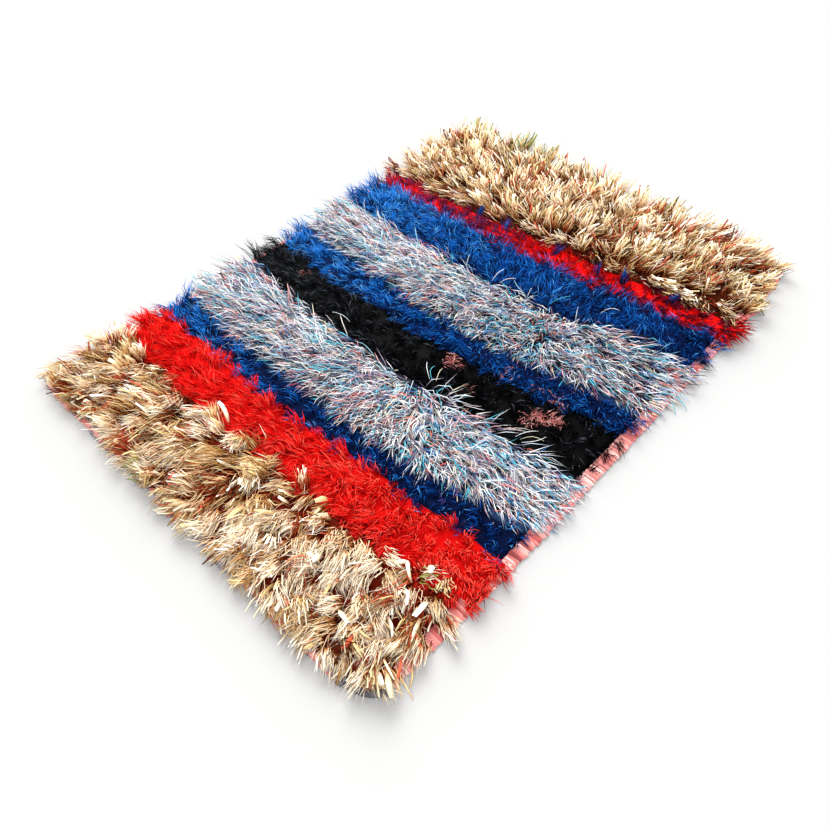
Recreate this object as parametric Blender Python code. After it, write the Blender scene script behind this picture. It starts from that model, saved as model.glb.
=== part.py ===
"""Shag rug, lying flat.

One textile in one solid: a thin woven ground cloth with plain selvedges, and
on it the body of a knotted pile in ten cross stripes. The pile's height, its
crown, the creases between the stripes and how far the strands lean over each
edge come from the table STRIPES and the sizes below. Metres, +Z up. +Y is the
rug's length, the wide straw-coloured stripe lies at +Y, and +X is the side on
which the selvedge shows. The origin is under the middle of the rug.
"""

import math

import bmesh
import bpy
from mathutils import Vector, noise

# ---------------------------------------------------------------- sizes
GROUND_WIDTH = 1.110        # ground cloth, selvedge to selvedge
GROUND_LENGTH = 1.560       # ground cloth, end to end
GROUND_THICK = 0.004        # weft-faced ground cloth with its knots' backs
GROUND_WAVE = 0.004         # how far the woven edges wander
CORNER_DRAW = 0.010         # how far the corners of the ground draw in

OVERHANG_NEAR = 0.030       # pile lying out past the near end
OVERHANG_FAR = 0.028        # pile lying out past the far end
REACH_RISE = 0.012          # height of the outermost strands over the ground
SELVEDGE_RISE = 0.003       # height of the pile's foot where the selvedge shows

SHOULDER = (                # side profile of the pile, from its edge inwards
    # inwards, share of the pile's height
    (0.012, 0.62),
    (0.034, 0.93),
)
CELL = 0.026                # spacing of the surface points
CREASE = 0.62               # height of the crease between two stripes, as a share
CROWN = 0.10                # how much a stripe's top falls off towards its creases
UNEVEN = 0.13               # random rise and fall of the pile, as a share
UNEVEN_CELL = 0.085         # size of its clumps
BORDER_WANDER = 0.006       # how far a stripe's border wanders

# The stripes from the near end to the far end. y_left, y_middle and y_right
# place the stripe's far border at the left selvedge, on the centre line and at
# the right selvedge, measured from the middle of the ground cloth. height is
# the pile's mean height over the ground, and lean_left and lean_right are how
# far its strands reach past the selvedge (negative: the selvedge shows).
COLUMNS = ("name", "yarn", "y_left", "y_middle", "y_right", "height", "lean_left", "lean_right")
STRIPES = [
    dict(zip(COLUMNS, row))
    for row in (
        ("straw_near", "straw", -0.555, -0.570, -0.515, 0.046, 0.030, -0.006),
        ("red_near",   "red",   -0.435, -0.440, -0.405, 0.036, 0.024, 0.012),
        ("blue_near",  "blue",  -0.362, -0.390, -0.335, 0.027, 0.030, -0.014),
        ("mixed_near", "mixed", -0.142, -0.182, -0.152, 0.040, 0.022, -0.004),
        ("black",      "black", -0.038, -0.055, +0.012, 0.029, 0.020, -0.010),
        ("blue_mid",   "blue",  +0.046, +0.012, +0.070, 0.030, 0.032, 0.010),
        ("mixed_far",  "mixed", +0.236, +0.215, +0.292, 0.040, 0.022, 0.012),
        ("blue_far",   "blue",  +0.364, +0.362, +0.420, 0.038, 0.032, 0.022),
        ("red_far",    "red",   +0.420, +0.448, +0.490, 0.031, 0.018, 0.038),
        ("straw_far",  "straw", +0.780, +0.780, +0.780, 0.056, 0.026, 0.020),
    )
]

YARNS = {
    # linear base colour, roughness
    "ground": ((0.62, 0.24, 0.22), 0.90),
    "straw":  ((0.55, 0.40, 0.21), 0.85),
    "red":    ((0.75, 0.02, 0.015), 0.80),
    "blue":   ((0.01, 0.07, 0.30), 0.80),
    "mixed":  ((0.42, 0.40, 0.47), 0.85),
    "black":  ((0.010, 0.010, 0.012), 0.85),
}


# ---------------------------------------------------------------- helpers
def through_three(left, middle, right, u):
    """A smooth curve over u = -1 .. +1 through three values."""
    return middle + 0.5 * (right - left) * u + (0.5 * (left + right) - middle) * u * u


def wander(a, b, size):
    """Smooth deterministic unevenness of about -1 .. +1."""
    return 2.0 * noise.noise(Vector((a / size, b / size, 7.3)))


def ground_edge_x(side, y):
    """x of the selvedge on side -1 or +1 at y: slightly wavy, drawn in at the corners."""
    end = abs(y) / (0.5 * GROUND_LENGTH)
    return side * (
        0.5 * GROUND_WIDTH
        + GROUND_WAVE * wander(side * 3.0, y, 0.24)
        - CORNER_DRAW * max(0.0, end - 0.93) / 0.07
    )


def ground_edge_y(side, x):
    """y of the ground's end on side -1 or +1 at x."""
    corner = abs(x) / (0.5 * GROUND_WIDTH)
    return side * (
        0.5 * GROUND_LENGTH
        + GROUND_WAVE * wander(x, side * 5.0, 0.24)
        - CORNER_DRAW * max(0.0, corner - 0.93) / 0.07
    )


def border_y(index, x):
    """y of the border on the near side of stripe index; the last one is the far end."""
    if index == 0:
        return ground_edge_y(-1, x)
    if index == len(STRIPES):
        return ground_edge_y(+1, x)
    s = STRIPES[index - 1]
    u = x / (0.5 * GROUND_WIDTH)
    return through_three(s["y_left"], s["y_middle"], s["y_right"], u) + BORDER_WANDER * wander(x, index * 1.7, 0.11)


def rows_of_stripes():
    """(stripe, share of its length) for each row of points over the pile, creases included."""
    rows = []
    for k, s in enumerate(STRIPES):
        length = border_y(k + 1, 0.0) - border_y(k, 0.0)
        steps = max(3, round(length / CELL))
        first = 0 if k == 0 else 1
        rows += [(k, n / steps) for n in range(first, steps + 1)]
    return rows


def pile_height(k, t, x, y):
    """Height of the pile over the ground cloth."""
    here = STRIPES[k]["height"]
    near = STRIPES[max(k - 1, 0)]["height"]
    far = STRIPES[min(k + 1, len(STRIPES) - 1)]["height"]
    crown = 1.0 - CROWN * abs(2.0 * t - 1.0) ** 3
    top = here * crown * (1.0 + UNEVEN * wander(x, y, UNEVEN_CELL))
    if t == 0.0 and k > 0:
        return CREASE * min(here, near)
    if t == 1.0 and k < len(STRIPES) - 1:
        return CREASE * min(here, far)
    return top


def lean(side, k, t):
    """How far the strands of stripe k reach past the selvedge, blended between neighbours."""
    key = "lean_left" if side < 0 else "lean_right"
    j = k + (1 if t > 0.5 else -1)
    other = STRIPES[min(max(j, 0), len(STRIPES) - 1)][key]
    mix = abs(t - 0.5)
    return (1.0 - mix) * STRIPES[k][key] + mix * other


# ---------------------------------------------------------------- the solid
def build_rug_mesh(name):
    """The rug's closed surface.

    A flat grid is laid over the rug. Its outer ring of points becomes the
    ground cloth's edge, the next ring the outermost reach of the pile, two
    more the pile's shoulder, and the rest its crowned top. The edge is then
    turned down through the ground's thickness and closed with a flat underside.
    """
    rows = rows_of_stripes()
    rings = 2 + len(SHOULDER)                    # rings outside the open top
    inner_cols = round((GROUND_WIDTH - 2 * SHOULDER[-1][0]) / CELL)
    nx = inner_cols + 2 * rings
    # rows of the table run from end to end; the outer rings add theirs
    ny = (len(rows) - 1) + 2 * rings

    bm = bmesh.new()
    bmesh.ops.create_grid(bm, x_segments=nx, y_segments=ny, size=1.0)
    half = 0.5 * GROUND_WIDTH

    for v in bm.verts:
        i = round((v.co.x + 1.0) / 2.0 * nx)
        j = round((v.co.y + 1.0) / 2.0 * ny)
        ring = min(i, j, nx - i, ny - j)
        # place over the open field, before the rim's own shape
        r = min(max(j - rings, 0), len(rows) - 1)
        k, t = rows[r]
        c = min(max(i - rings, 0), inner_cols) / inner_cols
        inset = SHOULDER[-1][0]
        x0 = -half + inset + c * (GROUND_WIDTH - 2 * inset)
        y = border_y(k, x0) * (1.0 - t) + border_y(k + 1, x0) * t
        y = min(max(y, -0.5 * GROUND_LENGTH + inset), 0.5 * GROUND_LENGTH - inset)
        side_x = -1 if i < rings else (+1 if i > nx - rings else 0)
        side_y = -1 if j < rings else (+1 if j > ny - rings else 0)
        depth_x = min(i, nx - i)
        depth_y = min(j, ny - j)
        x = x0
        over_x = lean(side_x, k, t) if side_x else 0.0
        over_y = {-1: OVERHANG_NEAR, 1: OVERHANG_FAR, 0: 0.0}[side_y]
        # the rim: ring 0 is the ground's edge, ring 1 the reach, then the shoulder
        if side_x:
            edge = ground_edge_x(side_x, y)
            ruffle = 0.006 * wander(y, side_x * 2.0, 0.05)
            x = {
                0: edge,
                1: edge + side_x * (over_x + ruffle),
            }.get(depth_x)
            if x is None:
                x = edge + side_x * (over_x - SHOULDER[depth_x - 2][0])
        if side_y:
            edge = ground_edge_y(side_y, x0)
            ruffle = 0.008 * wander(x0, side_y * 2.0, 0.06)
            y = {
                0: edge,
                1: edge + side_y * (over_y + ruffle),
            }.get(depth_y)
            if y is None:
                y = edge + side_y * (over_y - SHOULDER[depth_y - 2][0])
        if ring == 0:
            # the ground's edge stays on the ground at the corners too
            step = 0.004 * max(depth_x, depth_y)
            if side_x:
                x = side_x * min(abs(x), abs(ground_edge_x(side_x, y)))
                if depth_y == 0:
                    x = ground_edge_x(side_x, y) - side_x * 2.0 * step * (depth_x > 0)
            if side_y:
                y = side_y * min(abs(y), abs(ground_edge_y(side_y, x)))
                if depth_x == 0 and depth_y > 0:
                    y = ground_edge_y(side_y, x) - side_y * 2.0 * step
            z = GROUND_THICK
        elif ring == 1:
            over = over_x if depth_x == 1 else over_y
            if depth_x == 1 and depth_y == 1:
                over = min(over_x, over_y)
            rise = SELVEDGE_RISE if over <= 0.0 else REACH_RISE
            z = GROUND_THICK + rise
        elif ring < rings:
            z = GROUND_THICK + SHOULDER[ring - 2][1] * pile_height(k, t, x, y)
        else:
            z = GROUND_THICK + pile_height(k, t, x, y)
        v.co = (x, y, z)

    # faces take the yarn of the stripe they lie in
    yarn_index = {yarn: n for n, yarn in enumerate(YARNS)}
    for f in bm.faces:
        centre = f.calc_center_median()
        stripe = STRIPES[-1]
        for k in range(len(STRIPES) - 1):
            if centre.y < border_y(k + 1, centre.x):
                stripe = STRIPES[k]
                break
        low = centre.z < GROUND_THICK + 0.9 * SELVEDGE_RISE
        f.material_index = yarn_index["ground" if low else stripe["yarn"]]

    # the ground's thickness, and its flat underside
    rim = [e for e in bm.edges if e.is_boundary]
    turned = bmesh.ops.extrude_edge_only(bm, edges=rim)["geom"]
    for v in (g for g in turned if isinstance(g, bmesh.types.BMVert)):
        v.co.z = 0.0
    for f in (g for g in turned if isinstance(g, bmesh.types.BMFace)):
        f.material_index = yarn_index["ground"]
    foot = [e for e in bm.edges if e.is_boundary]
    under = bmesh.ops.contextual_create(bm, geom=foot)["faces"]
    for f in under:
        f.material_index = yarn_index["ground"]
    bmesh.ops.recalc_face_normals(bm, faces=bm.faces)

    mesh = bpy.data.meshes.new(name)
    bm.to_mesh(mesh)
    bm.free()
    return mesh


def yarn_material(name, colour, roughness):
    mat = bpy.data.materials.new(name)
    mat.use_nodes = True
    shader = mat.node_tree.nodes["Principled BSDF"]
    shader.inputs["Base Color"].default_value = (*colour, 1.0)
    shader.inputs["Roughness"].default_value = roughness
    shader.inputs["Metallic"].default_value = 0.0
    return mat


def main():
    for ob in list(bpy.data.objects):
        bpy.data.objects.remove(ob, do_unlink=True)

    collection = bpy.data.collections.new("shag_rug")
    bpy.context.scene.collection.children.link(collection)

    mesh = build_rug_mesh("rug")
    for yarn, (colour, roughness) in YARNS.items():
        mesh.materials.append(yarn_material(yarn, colour, roughness))
    # the origin goes under the middle of the rug's box
    xs = [v.co.x for v in mesh.vertices]
    ys = [v.co.y for v in mesh.vertices]
    middle = Vector((0.5 * (min(xs) + max(xs)), 0.5 * (min(ys) + max(ys)), 0.0))
    for v in mesh.vertices:
        v.co -= middle
    mesh.shade_smooth()
    mesh.set_sharp_from_angle(angle=math.radians(50.0))

    rug = bpy.data.objects.new("rug", mesh)
    collection.objects.link(rug)
    rug.location = (0.0, 0.0, 0.0)


main()
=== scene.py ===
"""Looks of the shag rug: its ground cloth, selvedges, end web and every strand of its pile.

The pile is made strand by strand. Each stripe is one joined mesh: knots are set out in rows over
the ground cloth, each knot holds a bunch of strands, and the strands lean, fan out and droop the
way that stripe's pile does. Under them lies the stripe's packed underpile, a lumpy closed layer.
Distances are metres. Layout is measured from the middle of the ground cloth, and finish_piece
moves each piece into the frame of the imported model.
"""

import math

import bmesh
import bpy
import numpy as np
from mathutils import Matrix, Vector, noise


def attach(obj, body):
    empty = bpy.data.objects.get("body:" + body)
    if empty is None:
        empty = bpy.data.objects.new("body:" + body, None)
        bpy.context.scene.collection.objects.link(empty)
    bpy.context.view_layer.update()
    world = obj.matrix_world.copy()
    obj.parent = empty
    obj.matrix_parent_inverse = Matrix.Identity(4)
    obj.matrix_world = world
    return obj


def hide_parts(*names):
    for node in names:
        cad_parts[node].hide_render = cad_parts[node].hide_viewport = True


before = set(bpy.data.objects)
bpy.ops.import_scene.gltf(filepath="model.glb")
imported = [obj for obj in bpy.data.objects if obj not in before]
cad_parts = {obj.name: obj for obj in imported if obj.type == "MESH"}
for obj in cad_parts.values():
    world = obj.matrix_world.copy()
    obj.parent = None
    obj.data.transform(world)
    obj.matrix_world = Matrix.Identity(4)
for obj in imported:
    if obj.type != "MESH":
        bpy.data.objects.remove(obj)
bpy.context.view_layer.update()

# ------------------------------------------------------------------ the rug's own sizes
MIDDLE = (-0.0041, -0.0014)      # from the middle of the ground cloth to the frame's origin
GROUND_WIDTH = 1.110
GROUND_LENGTH = 1.560
GROUND_THICK = 0.004
GROUND_WAVE = 0.004
CORNER_DRAW = 0.010
BORDER_WANDER = 0.006
REACH_X = (-0.612, 0.626)        # the strands end inside these, measured like the layout
REACH_Y = (-0.835, 0.862)
TOP = 0.0785
# the right selvedge as it lies: y along it, x of its edge
RIGHT_EDGE = (
    (-0.78, 0.541), (-0.70, 0.550), (-0.60, 0.557), (-0.50, 0.564), (-0.25, 0.567), (-0.10, 0.566), (0.05, 0.567), (0.20, 0.570), (0.45, 0.572), (0.78, 0.566),
)

COLUMNS = ("name", "y_left", "y_middle", "y_right", "underpile")
STRIPES = [
    dict(zip(COLUMNS, row))
    for row in (
        ("straw_near", -0.555, -0.570, -0.515, 0.008),
        ("red_near", -0.435, -0.440, -0.405, 0.006),
        ("blue_near", -0.362, -0.390, -0.335, 0.007),
        ("mixed_near", -0.142, -0.182, -0.152, 0.004),
        ("black", -0.038, -0.055, +0.012, 0.004),
        ("blue_mid", +0.046, +0.012, +0.070, 0.007),
        ("mixed_far", +0.236, +0.215, +0.292, 0.004),
        ("blue_far", +0.364, +0.362, +0.420, 0.009),
        ("red_far", +0.420, +0.448, +0.490, 0.007),
        ("straw_far", +0.780, +0.780, +0.780, 0.009),
    )
]
INDEX = {s["name"]: k for k, s in enumerate(STRIPES)}


# ------------------------------------------------------------------ small maths
def wander(a, b, size):
    """Smooth unevenness of about -1 .. +1, the same function as the solid's."""
    return 2.0 * noise.noise(Vector((a / size, b / size, 7.3)))


def lattice(x, y, seed):
    """A fixed random number 0 .. 1 for each whole x, y."""
    h = np.sin(x * 127.1 + y * 311.7 + seed * 74.7) * 43758.5453
    return h - np.floor(h)


def smooth_noise(x, y, size, seed):
    """Smooth noise over arrays, 0 .. 1."""
    u, v = x / size, y / size
    i, j = np.floor(u), np.floor(v)
    f, g = u - i, v - j
    f, g = f * f * (3 - 2 * f), g * g * (3 - 2 * g)
    a = lattice(i, j, seed) * (1 - f) + lattice(i + 1, j, seed) * f
    b = lattice(i, j + 1, seed) * (1 - f) + lattice(i + 1, j + 1, seed) * f
    return a * (1 - g) + b * g


def curled_corner(x):
    """How far the near end is drawn back towards its right-hand corner."""
    return 0.042 * np.clip((np.asarray(x, float) - 0.480) / 0.075, 0.0, 1.0) ** 1.2


def right_edge(y):
    rows = np.asarray(RIGHT_EDGE)
    return np.interp(y, rows[:, 0], rows[:, 1])


def ground_edge_x(side, y):
    end = abs(y) / (0.5 * GROUND_LENGTH)
    half = float(right_edge(y)) if side > 0 else 0.5 * GROUND_WIDTH
    return side * (
        half
        + GROUND_WAVE * wander(side * 3.0, y, 0.24)
        - CORNER_DRAW * max(0.0, end - 0.93) / 0.07
    )


def ground_edge_y(side, x):
    corner = abs(x) / (0.5 * GROUND_WIDTH)
    drawn = float(curled_corner(x)) if side < 0 and x > 0 else CORNER_DRAW * max(0.0, corner - 0.91) / 0.09
    return side * (0.5 * GROUND_LENGTH + GROUND_WAVE * wander(x, side * 5.0, 0.24) - drawn)


def border(index, x):
    """y of the near border of stripe index over an array of x."""
    x = np.asarray(x, float)
    if index == 0:
        return -0.5 * GROUND_LENGTH + curled_corner(x)
    if index == len(STRIPES):
        return np.full_like(x, 0.5 * GROUND_LENGTH)
    s = STRIPES[index - 1]
    u = x / (0.5 * GROUND_WIDTH)
    curve = s["y_middle"] + 0.5 * (s["y_right"] - s["y_left"]) * u
    curve = curve + (0.5 * (s["y_left"] + s["y_right"]) - s["y_middle"]) * u * u
    return (
        curve
        + BORDER_WANDER * 2.0 * (smooth_noise(x, x * 0 + index * 1.7, 0.11, 5) - 0.5)
        + 0.5 * BORDER_WANDER * 2.0 * (smooth_noise(x, x * 0 + index * 2.3, 0.035, 6) - 0.5)
    )


def unit(v):
    return v / np.maximum(np.linalg.norm(v, axis=-1, keepdims=True), 1e-12)


def table(rows, x):
    """Rows of (x, value, value, ...) read at an array of x, each value in turn."""
    rows = np.asarray(rows, float)
    return [np.interp(x, rows[:, 0], rows[:, c]) for c in range(1, rows.shape[1])]


def ways(angle, tilt):
    """Unit vectors leaning by tilt from upright towards angle, both in degrees. 0 is +X, 90 is +Y."""
    a, b = np.radians(angle), np.radians(tilt)
    return np.stack([np.sin(b) * np.cos(a), np.sin(b) * np.sin(a), np.cos(b)], -1)


def over_ground(p):
    """Height of what lies under a point: the ground cloth, or the floor past its edges."""
    inside = (
        (p[..., 0] > -0.5 * GROUND_WIDTH - 0.002)
        & (p[..., 0] < right_edge(p[..., 1]) + 0.002)
        & (p[..., 1] > -0.5 * GROUND_LENGTH - 0.004 + curled_corner(p[..., 0]))
        & (p[..., 1] < 0.5 * GROUND_LENGTH + 0.004)
    )
    return np.where(inside, GROUND_THICK + 0.0008, 0.0020)


# ------------------------------------------------------------------ strands
def strand_paths(rng, roots, first, last, length, marks, wobble, curl=None):
    """Points along each strand at the shares in marks. It leaves its root along first and has bent to last.
    curl holds the way and phase that the strands of a tuft wave in together, and how much of it is their own."""
    n = len(roots)
    points = [roots]
    side = unit(rng.normal(size=(n, 3)))
    phase = rng.uniform(0, 2 * math.pi, n)
    if curl is not None:
        tuft_side, tuft_phase, own = curl
        side = unit((1 - own) * tuft_side + own * side)
        phase = tuft_phase + own * phase
    for a, b in zip(marks[:-1], marks[1:]):
        t = 0.5 * (a + b)
        way = unit(first * (1 - t) + last * t)
        way = unit(way + (wobble * np.sin(phase + 5.0 * t))[:, None] * side)
        new = points[-1] + way * (length * (b - a))[:, None]
        low = over_ground(new) + 0.0012 * rng.random(n)
        new[:, 2] = np.maximum(new[:, 2], low)
        over = new[:, 2] > TOP - 0.012
        new[over, 2] = TOP - 0.012 + 0.35 * (new[over, 2] - TOP + 0.012)
        new[:, 2] = np.minimum(new[:, 2], TOP)
        for axis, (lo, hi) in ((0, REACH_X), (1, REACH_Y)):
            soft = 0.02
            c = new[:, axis]
            c = np.where(c > hi - soft, hi - soft + soft * np.tanh((c - hi + soft) / soft), c)
            c = np.where(c < lo + soft, lo + soft - soft * np.tanh((lo + soft - c) / soft), c)
            new[:, axis] = c
        points.append(new)
    return np.stack(points, 1)


RINGS = {
    3: [(-0.433, -0.25), (0.433, -0.25), (0.0, 0.5)],
    4: [(-0.5, -0.5), (0.5, -0.5), (0.5, 0.5), (-0.5, 0.5)],
    "fold": [(-0.5, -0.9), (0.0, 0.3), (0.5, -0.9), (0.45, -0.2), (0.0, 1.1), (-0.45, -0.2)],
}


def strand_block(b):
    """Vertices, faces (as a pattern per strand) and map places of a batch of strands.

    A batch has paths (n, k, 3), width (n), thick (n), turn (n), axis (n, 3), ring, profile (share of the
    width along the strand), pointed, and colour (n), its place on the palette."""
    paths, ring = b["paths"], np.array(RINGS[b["ring"]])
    sides = len(ring)
    n, k = paths.shape[:2]
    tangent = np.empty_like(paths)
    tangent[:, 1:-1] = paths[:, 2:] - paths[:, :-2]
    tangent[:, 0] = paths[:, 1] - paths[:, 0]
    tangent[:, -1] = paths[:, -1] - paths[:, -2]
    tangent = unit(tangent)
    up = np.zeros_like(tangent) + np.array([0.0, 0.0, 1.0]) + 0.35 * b["axis"][:, None, :]
    across = unit(np.cross(tangent, up))
    out = np.cross(across, tangent)
    c, s = np.cos(b["turn"])[:, None, None], np.sin(b["turn"])[:, None, None]
    across, out = across * c + out * s, out * c - across * s
    taper = np.interp(b["marks"], *b["profile"])
    rings = k - 1 if b["pointed"] else k
    block = []
    for i in range(rings):
        w = (b["width"] * taper[i])[:, None, None]
        h = (b["thick"] * taper[i])[:, None, None]
        block.append(
            paths[:, i, None, :]
            + across[:, i, None, :] * ring[None, :, 0, None] * w
            + out[:, i, None, :] * ring[None, :, 1, None] * h
        )
    block = np.concatenate(block, 1)
    if b["pointed"]:
        block = np.concatenate([block, paths[:, -1:, :]], 1)
    faces, place = [], []
    for i in range(rings - 1):
        for j in range(sides):
            q = (j + 1) % sides
            faces.append((i * sides + j, i * sides + q, (i + 1) * sides + q, (i + 1) * sides + j))
            place.append(((0, b["marks"][i]), (1, b["marks"][i]), (1, b["marks"][i + 1]), (0, b["marks"][i + 1])))
    spread = [(0.5 + 0.5 * math.cos(2 * math.pi * j / sides)) for j in range(sides)]
    faces.append(tuple(reversed(range(sides))))
    place.append(tuple((spread[j], 0.04 * (j % 2)) for j in range(sides)))
    if b["pointed"]:
        i = rings - 1
        for j in range(sides):
            q = (j + 1) % sides
            faces.append((i * sides + j, i * sides + q, rings * sides))
            place.append(((0, b["marks"][i]), (1, b["marks"][i]), (0.5, 1.0)))
    else:
        faces.append(tuple((rings - 1) * sides + j for j in range(sides)))
        place.append(tuple((spread[j], 1.0 - 0.04 * (j % 2)) for j in range(sides)))
    per = block.shape[1]
    pattern = np.concatenate([np.array(f) for f in faces])
    counts = np.array([len(f) for f in faces])
    at = np.array([p for f in place for p in f], float)
    u = b["colour"][:, None] + (at[None, :, 0] - 0.5) * 0.004
    low, high = b["shade"]
    v = np.broadcast_to(low + (high - low) * at[:, 1], u.shape)
    uv = np.stack([u.clip(0.001, 0.999), v], -1)
    loops = (np.arange(n)[:, None] * per + pattern[None, :]).ravel()
    return block.reshape(-1, 3), loops, np.tile(counts, n), uv.reshape(-1, 2)


def joined_mesh(name, blocks):
    """One object from blocks of (vertices, loops, face sizes, map places)."""
    verts, loops, totals, uvs, base = [], [], [], [], 0
    for v, lo, to, uv in blocks:
        verts.append(v)
        loops.append(lo + base)
        totals.append(to)
        uvs.append(uv)
        base += len(v)
    co = np.concatenate(verts).astype(np.float32)
    lo = np.concatenate(loops).astype(np.int32)
    to = np.concatenate(totals).astype(np.int32)
    mesh = bpy.data.meshes.new(name)
    mesh.vertices.add(len(co))
    mesh.vertices.foreach_set("co", co.ravel())
    mesh.loops.add(len(lo))
    mesh.loops.foreach_set("vertex_index", lo)
    mesh.polygons.add(len(to))
    mesh.polygons.foreach_set("loop_start", np.concatenate([[0], np.cumsum(to)[:-1]]).astype(np.int32))
    mesh.polygons.foreach_set("loop_total", to)
    mesh.polygons.foreach_set("use_smooth", np.ones(len(to), bool))
    layer = mesh.uv_layers.new(name="OFBake")
    layer.uv.foreach_set("vector", np.concatenate(uvs).astype(np.float32).ravel())
    mesh.update(calc_edges=True)
    mesh.validate()
    ob = bpy.data.objects.new(name, mesh)
    bpy.context.scene.collection.objects.link(ob)
    return ob


def bunches(
    rng, x, y, per, angle, tilt, length, width, colour, *, z=None, scatter=0.0035, fan=15.0, vary=0.25,
    width_vary=0.25, thick=0.6, marks=(0.0, 0.55, 1.0), arch=20.0, wobble=0.2, pointed=True,
    profile=((0.0, 0.4, 0.9, 1.0), (0.75, 1.0, 0.85, 0.3)), ring=3, keep=None, sag=0.15, shade=(0.02, 0.98), twist=0.6,
    own=1.0,
):
    """A batch of strands: per strands for each knot at x, y, fanned by fan degrees about its lean. A strand
    rises arch degrees steeper than its lean and comes over as much past it, and sag is how much it droops."""
    n = len(x)
    whole = int(math.ceil(per))
    t = np.repeat(np.arange(n), whole)
    t = t[rng.random(len(t)) < per / whole]
    if keep is not None:
        t = t[rng.random(len(t)) < keep[t]]
    m = len(t)

    def each(value):
        return value[t] if np.ndim(value) else np.full(m, float(value))

    root = np.stack(
        [
            x[t] + scatter * rng.normal(size=m),
            y[t] + scatter * rng.normal(size=m),
            each(GROUND_THICK - 0.001 if z is None else z),
        ],
        1,
    )
    root[:, 0] = np.minimum(root[:, 0].clip(-0.5 * GROUND_WIDTH + 0.003), right_edge(root[:, 1]) - 0.004)
    root[:, 1] = np.clip(root[:, 1], -0.5 * GROUND_LENGTH + 0.001 + curled_corner(root[:, 0]), 0.5 * GROUND_LENGTH - 0.003)
    lean = ways(each(angle), (each(tilt) - each(arch)).clip(0))
    over = ways(each(angle), (each(tilt) + each(arch)).clip(0, 100))
    opening = rng.normal(size=(m, 3))
    opening -= lean * (opening * lean).sum(1, keepdims=True)
    amount = np.tan(np.radians(np.clip(each(fan) * rng.normal(size=m), -70, 70)))[:, None]
    first = unit(lean + 0.7 * unit(opening) * amount)
    first[:, 2] = np.abs(first[:, 2])
    last = unit(over + unit(opening) * amount)
    last[:, 2] -= each(sag) * rng.uniform(0.4, 1.6, m)
    last = unit(last)
    ln = each(length) * (1 + vary * rng.uniform(-1, 1, m))
    w = each(width) * (1 + width_vary * rng.uniform(-1, 1, m))
    curl = (unit(rng.normal(size=(n, 3)))[t], rng.uniform(0, 2 * math.pi, n)[t], own) if own < 1 else None
    paths = strand_paths(rng, root, first, last, ln, marks, each(wobble) * rng.uniform(0.3, 1.0, m), curl)
    return dict(
        paths=paths, marks=marks, width=w, thick=w * thick, turn=rng.uniform(-twist, twist, m),
        axis=unit(rng.normal(size=(m, 3))), ring=ring, pointed=pointed, profile=profile,
        colour=colour(t, root), shade=shade,
    )


# ------------------------------------------------------------------ laying out the pile
def knots(rng, stripe, pitch, jitter=0.45, inset=(0.006, 0.006), near=0.0, far=0.0):
    """Roots of the knots of one stripe: rows across the rug between its borders, moved by near and far.
    Also gives each knot's share of the way across the stripe's depth."""
    k = INDEX[stripe]
    xs, ys = [], []
    x_lo = -0.5 * GROUND_WIDTH + inset[0]
    x_hi = stripe_edge(k) - inset[1]
    probe = np.linspace(x_lo, x_hi, 200)
    depth = float(np.mean(border(k + 1, probe) + far - border(k, probe) - near))
    rows = max(1, int(round(depth / pitch)))
    cols = max(1, int(round((x_hi - x_lo) / pitch)))
    for r in range(rows):
        u = (np.arange(cols) + 0.5 + jitter * rng.uniform(-1, 1, cols) + 0.5 * (r % 2) - 0.25) / cols
        x = x_lo + (x_hi - x_lo) * u.clip(0, 1)
        t = (r + 0.5 + jitter * rng.uniform(-1, 1, cols)) / rows
        xs.append(x)
        ys.append((border(k, x) + near) * (1 - t) + (border(k + 1, x) + far) * t)
    x, y = np.concatenate(xs), np.concatenate(ys)
    t = ((y - border(k, x) - near) / (border(k + 1, x) + far - border(k, x) - near)).clip(0, 1)
    return x, y, t


def stripe_edge(k):
    """x of the right selvedge at the middle of stripe k."""
    y = 0.5 * (float(border(k, [0.54])[0]) + float(border(k + 1, [0.54])[0]))
    return float(right_edge(y))


def under_height(stripe, x, y, seed=0, holes=(), inset=(0.006, 0.006), back=0.0):
    """Height of a stripe's underpile over the ground, lumpy, and low at its borders, edges and bare spots."""
    k = INDEX[stripe]
    h = STRIPES[k]["underpile"]
    lumps = 0.55 * smooth_noise(x, y, 0.022, 71 + seed) + 0.30 * smooth_noise(x, y, 0.011, 72 + seed) + 0.30 * smooth_noise(x, y, 0.06, 73 + seed)
    edge = np.minimum.reduce([
        (x + 0.5 * GROUND_WIDTH - inset[0]) / 0.012,
        (stripe_edge(k) - inset[1] - x) / 0.012,
        (y - border(k, x) - back + 0.006) / 0.012,
        (border(k + 1, x) + 0.006 - y) / 0.012,
    ])
    edge = np.sqrt(edge.clip(0, 1))
    bare = np.ones_like(x)
    for sx, sy, r in holes:
        bare = np.minimum(bare, ((np.hypot(x - sx, y - sy) / r) - 0.7).clip(0, 1) / 0.6).clip(0, 1)
    return h * (0.45 + 0.75 * lumps) * edge * bare


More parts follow.
